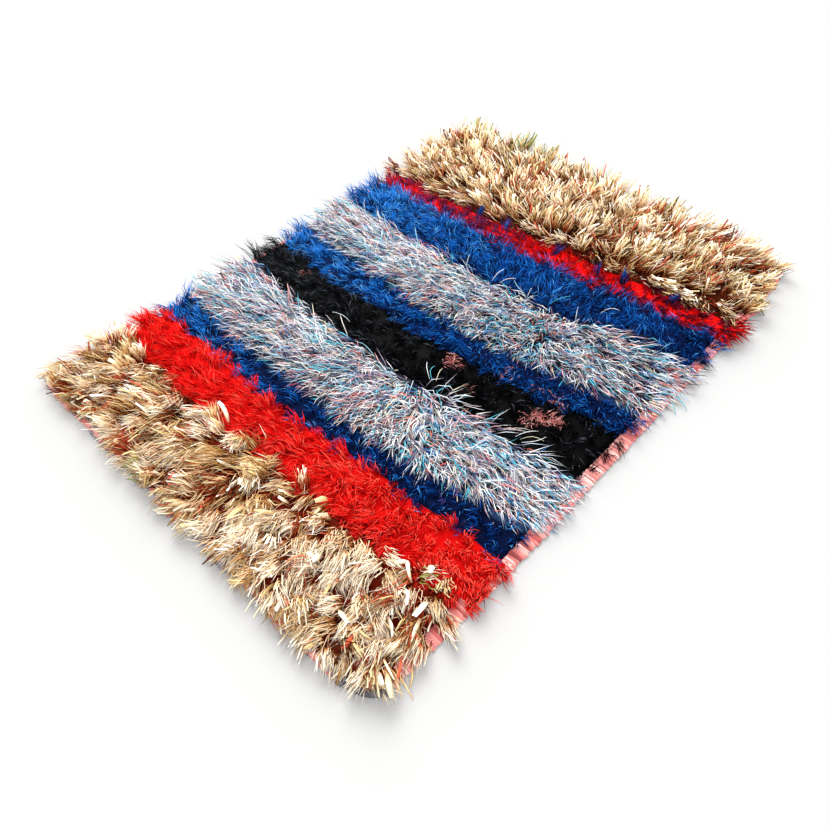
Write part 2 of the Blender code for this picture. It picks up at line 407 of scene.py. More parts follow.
def underpile(rng, stripe, pitch, colour, seed=0, inset=(0.006, 0.006), holes=(), rough=0.0015, shade=(0.25, 0.62), back=0.0):
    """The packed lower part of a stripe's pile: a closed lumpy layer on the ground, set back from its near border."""
    k = INDEX[stripe]
    x_lo, x_hi = -0.5 * GROUND_WIDTH + inset[0], stripe_edge(k) - inset[1]
    depth = float(np.mean(border(k + 1, np.linspace(x_lo, x_hi, 99)) - border(k, np.linspace(x_lo, x_hi, 99))))
    nx, ny = int(round((x_hi - x_lo) / pitch)), max(3, int(round(depth / pitch)))
    u, w = np.meshgrid(np.linspace(0, 1, nx + 1), np.linspace(0, 1, ny + 1))
    x = x_lo + (x_hi - x_lo) * u
    y = (border(k, x) + 0.0006 + back) * (1 - w) + (border(k + 1, x) - 0.0006) * w
    inner = (u > 0) & (u < 1) & (w > 0) & (w < 1)
    x = x + inner * 0.30 * pitch * rng.uniform(-1, 1, x.shape)
    y = y + inner * 0.30 * pitch * rng.uniform(-1, 1, x.shape)
    h = under_height(stripe, x, y, seed, holes, inset, back)
    rough_h = rough * rng.uniform(-1, 1, x.shape) * inner
    z = GROUND_THICK + 0.0008 + np.maximum(h + rough_h * (h > 0.004), 0.0)
    # where a spot is bare the layer dips under the top of the ground cloth
    for sx, sy, r in holes:
        z = np.where(np.hypot(x - sx, y - sy) < 0.80 * r, 0.0018, z)
    top = np.stack([x, y, z], -1).reshape(-1, 3)
    ids = np.arange((nx + 1) * (ny + 1)).reshape(ny + 1, nx + 1)
    quads = np.stack([ids[:-1, :-1], ids[:-1, 1:], ids[1:, 1:], ids[1:, :-1]], -1).reshape(-1, 4)
    rim = np.concatenate([ids[0, :-1], ids[:-1, -1], ids[-1, :0:-1], ids[:0:-1, 0]])
    foot = top[rim].copy()
    foot[:, 2] = 0.0010
    base = len(top)
    m = len(rim)
    low = base + np.arange(m)
    walls = np.stack([rim, low, np.roll(low, -1), np.roll(rim, -1)], -1)
    verts = np.concatenate([top, foot])
    loops = np.concatenate([quads.ravel(), walls.ravel(), low[::-1]])
    totals = np.concatenate([np.full(len(quads) + len(walls), 4), [m]])
    centre = top[quads].mean(1)
    cu = colour(None, centre)
    # painted shade: the lower a face lies in the layer, the darker its place on the shade ramp, and the walls take the
    # darkest
    level = ((centre[:, 2] - GROUND_THICK) / STRIPES[k]["underpile"]).clip(0, 1)
    lo, hi = shade
    cv = lo + (hi - lo) * level
    box = np.array([(-1, -1), (1, -1), (1, 1), (-1, 1)]) * (0.0022, 0.012)
    uv = np.stack([cu, cv], -1)[:, None, :] + box[None]
    wall_uv = np.array([0.5, lo]) + box
    uv = np.concatenate([uv.reshape(-1, 2), np.tile(wall_uv, (len(walls), 1)), np.tile(wall_uv[:1], (m, 1)) + 0.002 * np.stack([np.cos(np.arange(m)), np.sin(np.arange(m))], -1)])
    return verts, loops, totals, uv.clip(0.001, 0.999)


# ------------------------------------------------------------------ materials
def srgb(r, g, b):
    """Linear colour from 0 .. 255 sRGB numbers."""
    out = []
    for c in (r, g, b):
        c /= 255.0
        out.append(c / 12.92 if c <= 0.04045 else ((c + 0.055) / 1.055) ** 2.4)
    return tuple(out)


def set_ramp(node, stops):
    e = node.color_ramp.elements
    while len(e) > 1:
        e.remove(e[-1])
    e[0].position = stops[0][0]
    e[0].color = (*srgb(*stops[0][1]), 1.0)
    for place, colour in stops[1:]:
        s = e.new(place)
        s.color = (*srgb(*colour), 1.0)


def palette_material(name, yarns, shade, roughness=0.75, sheen=0.25, bump=0.5, grain=900.0, streaks=(0.86, 1.10), gloss=0.2):
    """Fibre whose colour is read from the strand's place on a palette of yarns, darker at the root with painted shade
    deep in the pile.

    yarns is a list of pairs of sRGB colours, a yarn's darker and lighter tone. shade is a list of
    (place along the strand, sRGB colour that multiplies it)."""
    mat = bpy.data.materials.new(name)
    mat.use_nodes = True
    nt = mat.node_tree
    shader = nt.nodes["Principled BSDF"]
    shader.inputs["Roughness"].default_value = roughness
    shader.inputs["Specular IOR Level"].default_value = gloss
    shader.inputs["Sheen Weight"].default_value = sheen
    shader.inputs["Sheen Roughness"].default_value = 0.5
    uv = nt.nodes.new("ShaderNodeUVMap")
    uv.uv_map = "OFBake"
    split = nt.nodes.new("ShaderNodeSeparateXYZ")
    nt.links.new(uv.outputs[0], split.inputs[0])
    ramp = nt.nodes.new("ShaderNodeValToRGB")
    ramp.color_ramp.interpolation = "LINEAR"
    stops = []
    for k, (dark, light) in enumerate(yarns):
        stops.append(((k + 0.12) / len(yarns), dark))
        stops.append(((k + 0.88) / len(yarns), light))
    set_ramp(ramp, stops)
    # painted shade: this ramp multiplies the yarn darker towards the strand's root
    along = nt.nodes.new("ShaderNodeValToRGB")
    set_ramp(along, shade)
    nt.links.new(split.outputs[0], ramp.inputs[0])
    nt.links.new(split.outputs[1], along.inputs[0])
    times = nt.nodes.new("ShaderNodeMix")
    times.data_type = "RGBA"
    times.blend_type = "MULTIPLY"
    times.inputs[0].default_value = 1.0
    nt.links.new(ramp.outputs[0], times.inputs[6])
    nt.links.new(along.outputs[0], times.inputs[7])
    # fibres: fine streaks lighten and darken the yarn and raise its surface
    place = nt.nodes.new("ShaderNodeTexCoord")
    fibre = nt.nodes.new("ShaderNodeTexNoise")
    fibre.inputs["Scale"].default_value = grain
    fibre.inputs["Detail"].default_value = 2.0
    nt.links.new(place.outputs["Object"], fibre.inputs["Vector"])
    streak = nt.nodes.new("ShaderNodeMapRange")
    streak.inputs["From Min"].default_value = 0.25
    streak.inputs["From Max"].default_value = 0.75
    streak.inputs["To Min"].default_value = streaks[0]
    streak.inputs["To Max"].default_value = streaks[1]
    nt.links.new(fibre.outputs["Fac"], streak.inputs["Value"])
    tint = nt.nodes.new("ShaderNodeVectorMath")
    tint.operation = "SCALE"
    nt.links.new(times.outputs[2], tint.inputs[0])
    nt.links.new(streak.outputs[0], tint.inputs["Scale"])
    nt.links.new(tint.outputs[0], shader.inputs["Base Color"])
    raised = nt.nodes.new("ShaderNodeBump")
    raised.inputs["Strength"].default_value = bump
    raised.inputs["Distance"].default_value = 0.0006
    nt.links.new(fibre.outputs["Fac"], raised.inputs["Height"])
    nt.links.new(raised.outputs[0], shader.inputs["Normal"])
    return mat


def pick(rng, weights, tufts, own=0.5):
    """Places on a palette of yarns. With chance own a strand takes its tuft's yarn, else one of its own."""
    w = np.asarray(weights, float)
    w = np.cumsum(w / w.sum(-1, keepdims=True), -1)
    n = len(tufts)
    many = int(tufts.max()) + 1 if n else 1
    draw = np.where(rng.random(n) < own, rng.random(many)[tufts], rng.random(n))
    m = w.shape[-1]
    k = np.searchsorted(w, draw) if w.ndim == 1 else (draw[:, None] > w).sum(1)
    return (k.clip(0, m - 1) + 0.12 + 0.76 * rng.random(n)) / m


# palettes: each yarn's darker and lighter tone, sRGB
STRAW = [
    ((58, 28, 12), (100, 54, 28)),        # 0 dark brown
    ((124, 42, 20), (168, 68, 38)),       # 1 rust
    ((192, 76, 56), (226, 118, 92)),      # 2 salmon red
    ((142, 112, 66), (184, 150, 96)),     # 3 old gold
    ((192, 160, 112), (220, 192, 142)),   # 4 tan
    ((216, 194, 146), (238, 218, 174)),   # 5 straw
    ((232, 216, 178), (247, 236, 206)),   # 6 pale straw
    ((246, 238, 216), (255, 250, 238)),   # 7 cream
    ((250, 247, 238), (255, 255, 252)),   # 8 white
    ((92, 108, 50), (150, 162, 92)),      # 9 olive
]
STRAW_WEIGHTS = (0.08, 0.12, 0.045, 0.09, 0.16, 0.18, 0.16, 0.14, 0.11, 0.010)
RED = [
    ((168, 5, 5), (190, 8, 8)),
    ((208, 8, 6), (222, 14, 11)),
    ((226, 19, 15), (238, 36, 29)),
    # the lightest yarn is partly painted highlight on the fluffy red pile
    ((242, 62, 50), (250, 98, 82)),
    ((62, 3, 11), (92, 6, 18)),
    ((88, 24, 58), (134, 50, 92)),
]
RED_WEIGHTS = (0.07, 0.32, 0.47, 0.12, 0.02, 0.0)
BLUE = [
    ((3, 16, 48), (4, 28, 78)),
    ((4, 44, 108), (6, 60, 138)),
    ((8, 76, 164), (14, 96, 190)),
    ((16, 108, 204), (28, 130, 222)),
    ((50, 144, 230), (100, 178, 244)),
    ((70, 60, 150), (130, 96, 160)),
]
BLACK = [
    ((0, 0, 1), (2, 2, 3)),
    ((3, 3, 5), (9, 9, 12)),
    ((19, 21, 25), (36, 39, 45)),
    # the light grey yarn is painted glints on the black strands
    ((56, 60, 67), (98, 104, 112)),
]
MIXED = [
    ((12, 14, 30), (34, 38, 60)),         # 0 dark slate
    ((92, 88, 128), (138, 132, 172)),     # 1 violet grey
    ((166, 144, 168), (200, 182, 202)),   # 2 mauve
    ((218, 152, 154), (242, 190, 188)),   # 3 rose
    ((246, 226, 218), (255, 244, 236)),   # 4 pale pink
    ((246, 248, 250), (254, 255, 255)),   # 5 white
    ((208, 220, 232), (236, 244, 250)),   # 6 pale grey blue
    ((124, 184, 216), (168, 216, 238)),   # 7 light blue
    ((48, 180, 210), (104, 220, 238)),    # 8 turquoise
    ((8, 58, 116), (44, 144, 214)),       # 9 azure
    ((236, 220, 180), (252, 244, 214)),   # 10 cream
    ((226, 84, 72), (248, 134, 110)),     # 11 coral
    ((92, 74, 66), (146, 124, 106)),      # 12 taupe
]
MIXED_WEIGHTS = (0.18, 0.10, 0.10, 0.10, 0.08, 0.26, 0.06, 0.09, 0.13, 0.08, 0.06, 0.04, 0.02)
PINK = [
    ((150, 62, 62), (186, 88, 84)),
    ((204, 104, 100), (224, 130, 124)),
    ((226, 136, 130), (242, 164, 156)),
    ((244, 172, 164), (255, 202, 194)),
]
WEB = [
    ((52, 52, 56), (78, 76, 82)),
    ((96, 92, 98), (122, 118, 124)),
    ((132, 116, 128), (156, 138, 150)),
    ((168, 150, 158), (196, 182, 188)),
]

# Shade ramps along a strand, 0 at the root: each multiplies its yarn darker towards the root, painted shade deep in the
# pile; the red one darkens only a little.
STRAW_SHADE = [(0.0, (58, 14, 4)), (0.24, (118, 44, 16)), (0.44, (200, 140, 92)), (0.66, (248, 232, 208)), (1.0, (255, 254, 251))]
RED_SHADE = [(0.0, (180, 145, 145)), (0.3, (236, 224, 224)), (0.65, (250, 246, 246)), (1.0, (255, 255, 255))]
WOOL_SHADE = [(0.0, (90, 90, 96)), (0.3, (165, 165, 170)), (0.65, (235, 235, 238)), (1.0, (255, 255, 255))]
CORD_SHADE = [(0.0, (38, 40, 60)), (0.22, (128, 132, 152)), (0.42, (240, 242, 246)), (0.7, (255, 255, 255)), (1.0, (255, 255, 255))]

straw_mat = palette_material("straw_fibre", STRAW, STRAW_SHADE, roughness=0.80, sheen=0.0, gloss=0.06)
red_mat = palette_material("red_fibre", RED, RED_SHADE, roughness=0.9, sheen=0.0, grain=1300.0, gloss=0.04)
blue_mat = palette_material("blue_fibre", BLUE, WOOL_SHADE, roughness=0.9, sheen=0.0, grain=1300.0, gloss=0.05)
black_mat = palette_material("black_fibre", BLACK, WOOL_SHADE, roughness=0.6, sheen=0.0, grain=1300.0, gloss=0.025)
mixed_mat = palette_material("mixed_fibre", MIXED, CORD_SHADE, roughness=0.65, sheen=0.0, gloss=0.16)
pink_mat = palette_material("pink_weft", PINK, WOOL_SHADE, roughness=0.9, sheen=0.15, grain=700.0, bump=0.8, streaks=(0.75, 1.12))
web_mat = palette_material("web_weft", WEB, WOOL_SHADE, roughness=0.9, sheen=0.1, grain=700.0, bump=0.8, streaks=(0.7, 1.15))


def finish_piece(piece, mat):
    piece.data.materials.append(mat)
    piece.data.transform(Matrix.Translation((-MIDDLE[0], -MIDDLE[1], 0.0)))
    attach(piece, "root")
    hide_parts("rug")
    return piece


def add(name, batches, mat):
    blocks = [strand_block(b) if isinstance(b, dict) else b for b in batches]
    ob = joined_mesh(name, blocks)
    finish_piece(ob, mat)
    return ob


# ------------------------------------------------------------------ the straw-coloured stripes
STRIP = ((0.0, 0.35, 1.0), (0.6, 1.0, 0.85))
FIBRE = ((0.0, 0.5, 1.0), (0.8, 1.0, 0.3))
RAG = ((0.0, 0.2, 0.85, 1.0), (0.5, 0.95, 1.0, 0.7))


def bare_spots(spots, x, y):
    """A keep share that thins the pile to show the ground at round spots of (x, y, radius)."""
    k = np.ones(len(x))
    for sx, sy, r in spots:
        k = np.minimum(k, ((np.hypot(x - sx, y - sy) / r - 0.55) / 0.6).clip(0.0, 1.0))
    return k


def plain(yarn, yarns, spread=0.7):
    """A colour function for underpile: one dark yarn, a little uneven, that paints the shade down among the strands."""

    def colour(_, p):
        v = smooth_noise(p[:, 0], p[:, 1], 0.012, 91)
        return (yarn + 0.5 + spread * (v - 0.5)) / yarns

    return colour


def straw_colour(rng, tuft_count, x, y, seed, extra=None, pale_shift=0.0, patchy=False):
    """Every tuft has a mood: pale, straw, brown or rusty, and its strands take yarns to suit, the more so if patchy."""
    mood = rng.random(tuft_count) + 0.7 * (smooth_noise(x, y, 0.05, seed) - 0.5) + pale_shift
    base = np.tile(np.array(STRAW_WEIGHTS), (tuft_count, 1))
    red = 0.10 if patchy else 0.06
    pale, brown, rust = mood > 0.78, (mood < 0.24) & (mood > red), mood <= red
    if patchy:
        base[pale] *= (0.1, 0.25, 0.4, 0.1, 0.1, 0.3, 0.8, 3.0, 9.0, 0.4)
        base[brown] *= (3.2, 2.4, 0.8, 2.2, 1.3, 0.7, 0.5, 0.3, 0.2, 1.0)
        base[rust] *= (2.6, 6.0, 3.6, 0.9, 0.6, 0.5, 0.4, 0.3, 0.2, 0.5)
    else:
        base[pale] *= (0.3, 0.3, 0.4, 0.4, 0.5, 0.8, 1.3, 2.4, 4.0, 1.0)
        base[brown] *= (2.6, 1.6, 0.8, 2.2, 1.6, 0.9, 0.7, 0.5, 0.4, 1.0)
        base[rust] *= (2.2, 4.5, 3.4, 1.4, 1.0, 0.7, 0.6, 0.5, 0.4, 1.0)
    if extra is not None:
        extra(base)

    def colour(tuft, roots):
        return pick(rng, base[tuft], tuft, 0.65 if patchy else 0.25)

    return colour


def pale_rag(rng):
    """The colours of cut rags: white and cream for the most part."""

    def colour(tuft, roots):
        return pick(rng, (0, 0.01, 0.04, 0, 0.06, 0.08, 0.16, 0.30, 0.40, 0), tuft, 0.5)

    return colour


def straw_far():
    rng = np.random.default_rng(11)
    x, y, t = knots(rng, "straw_far", 0.0315, near=0.010, far=-0.003, inset=(0.010, 0.016), jitter=0.40)
    n = len(x)
    angle, tilt = table([(-0.56, 178, 46), (-0.3, 170, 32), (-0.05, 125, 18), (0.15, 50, 24), (0.35, 25, 32), (0.56, 20, 34)], x)
    lean = ways(angle, tilt)
    front, back = np.clip(1 - t / 0.16, 0, 1), np.clip((t - 0.72) / 0.28, 0, 1)
    lean[:, 1] += -0.9 * front + 0.95 * back
    lean[:, 0] += 0.45 * front * np.where(x < 0.1, -1, 1)
    lean = unit(lean + 0.66 * unit(rng.normal(size=(n, 3))) * np.array([1, 1, 0.2]))
    angle = np.degrees(np.arctan2(lean[:, 1], lean[:, 0]))
    tilt = np.degrees(np.arccos(lean[:, 2].clip(-1, 1)))
    length = 0.065 + 0.012 * (smooth_noise(x, y, 0.045, 3) - 0.5) - 0.010 * front + 0.011 * back
    length -= 0.006 * np.clip((x - 0.48) / 0.04, 0, 1) + 0.018 * np.clip((x - 0.44) / 0.08, 0, 1) * np.clip((y - 0.60) / 0.10, 0, 1)

    def olive(w):
        rim = np.clip((x - 0.49) / 0.03, 0, 1) + np.clip((t - 0.85) / 0.1, 0, 1)
        w[:, :3] *= (1 - 0.75 * rim.clip(0, 1))[:, None]
        w *= (1.0, 0.7, 1.2, 0.8, 0.9, 1.0, 1.1, 1.15, 1.1, 1.0)
        w[:, 9] += 0.9 * np.clip((t - 0.8) / 0.2, 0, 1) * np.clip((-x - 0.0) / 0.3, 0.08, 1) * w.sum(1)
        for sx, sy in ((0.48, 0.69), (0.37, 0.735)):
            w[np.hypot(x - sx, y - sy) < 0.028, :2] += 1.3

    colour = straw_colour(rng, n, x, y, 9, olive, table([(-0.5, -0.06), (0.1, -0.08), (0.3, -0.14)], x)[0])
    strips = bunches(
        rng, x, y, 15, angle, tilt, length, 0.0038, colour, scatter=0.0055, fan=16, vary=0.25, thick=0.4, wobble=0.50,
        pointed=False, profile=STRIP, sag=0.05, arch=20, width_vary=0.5, own=0.5,
    )
    fibres = bunches(
        rng, x, y, 21, angle, tilt, length * 1.04, 0.0021, colour, scatter=0.0075, fan=22, vary=0.25, thick=0.6, wobble=0.65,
        profile=FIBRE, sag=0.12, arch=20, width_vary=0.3, own=0.5,
    )
    some = rng.random(n) < 0.45
    rags = bunches(
        rng, x[some], y[some], 2.2, angle[some], (tilt[some] - 6).clip(0), length[some] * 0.92, 0.0068, pale_rag(rng), z=GROUND_THICK + 0.010,
        scatter=0.005, fan=10, vary=0.2, thick=0.12, marks=(0.0, 0.5, 1.0), wobble=0.40, pointed=False, profile=RAG, ring="fold",
        sag=0.08, arch=20, shade=(0.35, 0.98), width_vary=0.4, twist=1.4,
    )
    under = underpile(rng, "straw_far", 0.012, plain(0, 10), seed=9, inset=(0.010, 0.020), shade=(0.15, 0.45))
    return [strips, fibres, rags, under]


NEAR_BARE = ((0.035, -0.772, 0.028), (-0.20, -0.778, 0.012), (-0.28, -0.778, 0.012), (-0.37, -0.778, 0.010), (0.536, -0.770, 0.052), (0.545, -0.655, 0.036))


def straw_near():
    rng = np.random.default_rng(12)
    x, y, t = knots(rng, "straw_near", 0.0290, near=0.021, far=0.002, inset=(0.012, 0.022), jitter=0.45)
    n = len(x)
    angle, tilt = table([(-0.56, 205, 58), (-0.35, 222, 58), (-0.1, 250, 60), (0.15, 275, 62), (0.35, 292, 63), (0.56, 304, 62)], x)
    lean = ways(angle, tilt)
    far, near = np.clip((t - 0.75) / 0.25, 0, 1), np.clip((0.14 - t) / 0.14, 0, 1)
    lean[:, 1] += 0.62 * far * rng.uniform(0.3, 1.5, n)
    lean[:, 0] += 0.85 * far * np.clip((-0.22 - x) / 0.12, 0, 1)
    lean[:, 2] += 0.15 * far + 0.15 * near
    lean = unit(lean + 0.62 * unit(rng.normal(size=(n, 3))) * np.array([1, 1, 0.3]))
    angle = np.degrees(np.arctan2(lean[:, 1], lean[:, 0]))
    tilt = np.degrees(np.arccos(lean[:, 2].clip(-1, 1)))
    length = 0.068 + 0.014 * (smooth_noise(x, y, 0.05, 23) - 0.5) - table([(-0.45, 0.018), (-0.3, 0.022), (0.0, 0.024), (0.3, 0.026), (0.42, 0.033), (0.50, 0.049)], x)[0] * near - 0.016 * far - 0.014 * np.clip((-0.50 - x) / 0.04, 0, 1)
    keep = bare_spots(NEAR_BARE, x, y)

    def salmon(w):
        w[:, 2] += 0.10 * far * w.sum(1)

    # pale_shift rises towards the right end: paler tufts there, partly whiter yarn and partly painted light
    colour = straw_colour(rng, n, x, y, 29, salmon, table([(-0.5, 0.05), (-0.35, -0.02), (-0.2, -0.05), (0.0, 0.05), (0.15, 0.40)], x)[0], True)
    strips = bunches(
        rng, x, y, 9, angle, tilt, length, 0.0034, colour, scatter=0.0054, fan=12, vary=0.3, thick=0.4, wobble=0.75,
        marks=(0.0, 0.35, 0.7, 1.0), pointed=False, profile=STRIP, sag=0.15, arch=30, keep=keep, width_vary=0.5, own=0.26,
    )
    fibres = bunches(
        rng, x, y, 53, angle, tilt, length * 1.02, 0.0022, colour, scatter=0.0060, fan=13, vary=0.3, thick=0.6, wobble=0.85,
        profile=FIBRE, sag=0.14, arch=30, keep=keep, width_vary=0.4, own=0.32,
    )

    # soft cut rags, creased along their middle, a few to a tuft and drooping
    some = rng.random(n) < 0.30 + 0.14 * np.clip((x + 0.1) / 0.2, 0, 1)
    rags = bunches(
        rng, x[some], y[some], 1.9, angle[some], tilt[some], (0.052 - 0.018 * near - 0.010 * far)[some], 0.0098, pale_rag(rng),
        z=GROUND_THICK + 0.011, scatter=0.0055, fan=10, vary=0.3, thick=0.12, marks=(0.0, 0.3, 0.65, 1.0), wobble=0.75, pointed=False,
        profile=RAG, ring="fold", sag=0.20, arch=26, shade=(0.35, 0.98), keep=keep[some], width_vary=0.4, twist=1.5,
    )
    under = underpile(rng, "straw_near", 0.012, plain(1, 10), seed=10, inset=(0.012, 0.026), holes=NEAR_BARE, rough=0.0030, shade=(0.10, 0.32), back=0.016)
    return [strips, fibres, rags, under]


# ------------------------------------------------------------------ the wool stripes
def wool(seed, stripe, pitch, per, rows, length, width, colour, dark, *, turn=55, near=0.0, far=0.0, inset=(0.006, 0.012),
         fan=18, spots=(), near_lean=0.35, far_lean=0.55, wobble=0.5, sag=0.22, scatter=0.0055, wild=0.55, arch=24,
         under_shade=(0.20, 0.50), left=0.9, right=-0.05):
    """A fluffy wool stripe. rows hold x, lean angle, tilt; near its borders the pile leans outwards."""
    rng = np.random.default_rng(seed)
    x, y, t = knots(rng, stripe, pitch, near=near, far=far, inset=inset, jitter=0.5)
    n = len(x)
    angle, tilt = table(rows, x)
    lean = ways(angle, tilt)
    lean[:, 1] += np.where(t > 0.5, far_lean, -near_lean) * np.abs(2 * t - 1) ** 2 * rng.uniform(-0.2, 2.0, n)
    lean = unit(lean + wild * unit(rng.normal(size=(n, 3))) * np.array([1, 1, 0.3]))
    turned = 2 * turn * (smooth_noise(x, y, 0.035, seed) - 0.5)
    angle = np.degrees(np.arctan2(lean[:, 1], lean[:, 0])) + turned
    tilt = np.degrees(np.arccos(lean[:, 2].clip(-1, 1)))
    strands = bunches(
        rng, x, y, per, angle, tilt.clip(4, 84),
        length * (1 + 0.5 * (smooth_noise(x, y, 0.03, seed + 2) - 0.5)) * (1 + left * np.clip((-0.52 - x) / 0.03, 0, 1))
        * (1 - 0.20 * np.abs(2 * t - 1) ** 2) * (1 - right * np.clip((x - 0.52) / 0.02, 0, 1)), width,
        lambda tuft, roots: colour(rng, roots, tuft), scatter=scatter, fan=fan, vary=0.35,
        wobble=wobble, keep=bare_spots(spots, x, y).clip(0.45), sag=sag, arch=arch, shade=(0.05, 0.98), profile=FIBRE, width_vary=0.35,
    )
    # the underpile, in a dark yarn and darkened by under_shade, is painted shade between the strands
    under = underpile(rng, stripe, 0.0090, dark, seed=seed, inset=(inset[0] + 0.004, inset[1] + 0.007), rough=0.0042, shade=under_shade)
    return [strands, under]


def red_colour(rng, p, tuft):
    # painted shade: more dark red and dark wine along the border with the blue stripe, where shade falls between the
    # stripes
    edge = np.clip(1 - (border(INDEX["blue_near"], p[:, 0]) - p[:, 1]) / 0.012, 0, 1)
    w = np.tile(np.array(RED_WEIGHTS), (len(p), 1))
    w[:, 4] += 0.7 * edge
    w[:, 0] += 0.5 * edge
    # painted light: fewer dark and more of the lightest yarns towards the right end, standing in for stronger light
    # there
    right = np.clip((p[:, 0] + 0.15) / 0.35, 0, 1)
    w[:, 0] *= 1 - 0.8 * right * (1 - edge)
    w[:, 1] *= 1 - 0.8 * right
    w[:, 3] += 0.20 * right
    return pick(rng, w, tuft, 0.25)


def red_far_colour(rng, p, tuft):
    """Mauve tones left of the middle, partly blue ends mixed in and partly painted shade of the blue pile standing over
    the red, and darker wine ones towards the right end.
    """
    left = 0.35 * np.clip((-p[:, 0] - 0.10) / 0.2, 0, 1) + np.exp(-(((p[:, 0] + 0.22) / 0.13) ** 2))
    right = np.clip((p[:, 0] - 0.20) / 0.2, 0, 1)
    w = np.tile(np.array(RED_WEIGHTS), (len(p), 1))
    w[:, 4] += 0.15 + 1.0 * left + 7.0 * right
    w[:, 5] += 0.12 + 5.0 * left + 2.4 * right
    w[:, 0] += 0.30
    return pick(rng, w, tuft, 0.25)


def blue_colour(rng, p, tuft):
    left = np.clip((-p[:, 0] - 0.02) / 0.40, 0, 1)
    near = np.clip((-p[:, 1] - 0.10) / 0.1, 0, 1) * (1 - 0.5 * left)
    right = np.clip((p[:, 0] - 0.15) / 0.2, 0, 1)
    w = np.zeros((len(p), 6))
    w[:, 0] = 0.16 * (1 - left) + 0.30 * near + 0.34 * right
    w[:, 1] = 0.32 - 0.26 * left + 0.15 * near + 0.10 * right
    w[:, 2] = 0.32 - 0.12 * left
    w[:, 3] = 0.20 + 0.40 * left - 0.10 * near - 0.08 * right
    w[:, 4] = 0.05 + 0.42 * left * (1 - near)
    w[:, 5] = 0.004
    return pick(rng, w, tuft, 0.3)


def black_colour(rng, p, tuft):
    left = np.clip((-p[:, 0] + 0.05) / 0.4, 0, 1)
    w = np.zeros((len(p), 4))
    w[:, 0] = 0.50 - 0.40 * left
    w[:, 1] = 0.34 - 0.08 * left
    # towards the left end more of the grey yarn and of the painted-glint yarn
    w[:, 2] = 0.12 + 0.38 * left
    w[:, 3] = 0.035 + 0.10 * left
    return pick(rng, w, tuft, 0.3)


# ------------------------------------------------------------------ the cord stripes
def mixed(seed, stripe, rows, per, near, far, inset, tone, blush):
    """Long thin cords lying over in swirls. rows hold x, lean angle, tilt, length and how much the lean
    turns from the near to the far border. tone holds x and how much more white and dark yarn there is,
    blush the places and radii where more of the yarn is rose."""
    rng = np.random.default_rng(seed)
    x, y, t = knots(rng, stripe, 0.0130, near=near, far=far, inset=inset, jitter=0.6)
    n = len(x)
    angle, tilt, length, across = table(rows, x)
    calm = np.clip((0.46 - x) / 0.15, 0.55, 1)
    angle = angle + across * (t - 0.5) + calm * (60 * (smooth_noise(x, y, 0.06, seed) - 0.5) + 30 * rng.normal(size=n))
    tilt = tilt + calm * (26 * (smooth_noise(x, y, 0.05, seed + 1) - 0.5) + 9 * rng.normal(size=n))
    length = length * (1 + 0.3 * (smooth_noise(x, y, 0.06, seed + 2) - 0.5)) * (1 - 0.32 * np.clip((0.22 - t) / 0.2, 0, 1))
    last = np.clip((t - 0.76) / 0.16, 0, 1) * np.clip((0.12 - x) / 0.10, 0, 1)
    angle = angle + (230 - angle) * 0.8 * last
    tilt, length = tilt + 16 * last, length * (1 - 0.40 * last)

    def colour(tuft, roots):
        w = np.tile(np.array(MIXED_WEIGHTS), (len(roots), 1))
        white, dark = table(tone, roots[:, 0])
        w[:, 5] += white
        w[:, 0] = (w[:, 0] + dark).clip(0.0)
        rosy = np.zeros(len(roots))
        for sx, sy, r in blush:
            rosy = np.maximum(rosy, np.clip(1.4 - np.hypot(roots[:, 0] - sx, roots[:, 1] - sy) / r, 0, 1))
        w[:, 2] += 0.5 * rosy
        w[:, 3] += 1.8 * rosy
        w[:, 11] += 0.5 * rosy
        return pick(rng, w, tuft, 0.30)

    arch = 10 + 15 * np.clip((0.42 - x) / 0.18, 0, 1)
    cords = bunches(
        rng, x, y, 0.50 * per, angle, tilt.clip(18, 87), length, 0.0025, colour, scatter=0.0060, fan=20, vary=0.4, width_vary=0.35,
        thick=0.75, marks=(0.0, 0.35, 0.7, 1.0), wobble=0.60, sag=0.10, arch=arch, profile=((0.0, 0.35, 0.7, 1.0), (0.85, 1.0, 0.95, 0.3)),
    )
    fine = bunches(
        rng, x, y, 0.68 * per, angle, tilt.clip(18, 87), length, 0.0020, colour, scatter=0.0060, fan=21, vary=0.4, width_vary=0.3,
        thick=0.8, marks=(0.0, 0.5, 1.0), wobble=0.55, sag=0.10, arch=arch, profile=((0.0, 0.5, 1.0), (0.9, 1.0, 0.3)),
    )

    def under_colour(_, p):
        """Painted shade under the cords: dark slate, but dark blue along the near border where the neighbour's wool
        lies under the cords.
        """
        slate = plain(0, 13)(_, p)
        return np.where(p[:, 1] - border(INDEX[stripe], p[:, 0]) < 0.020, 9.12 / 13, slate)

    # shade 0 .. 0.22 keeps the whole layer dark, painted shade under the cords
    under = underpile(rng, stripe, 0.0100, under_colour, seed=seed, inset=inset, rough=0.003, shade=(0.0, 0.22))
    return [cords, fine, under]


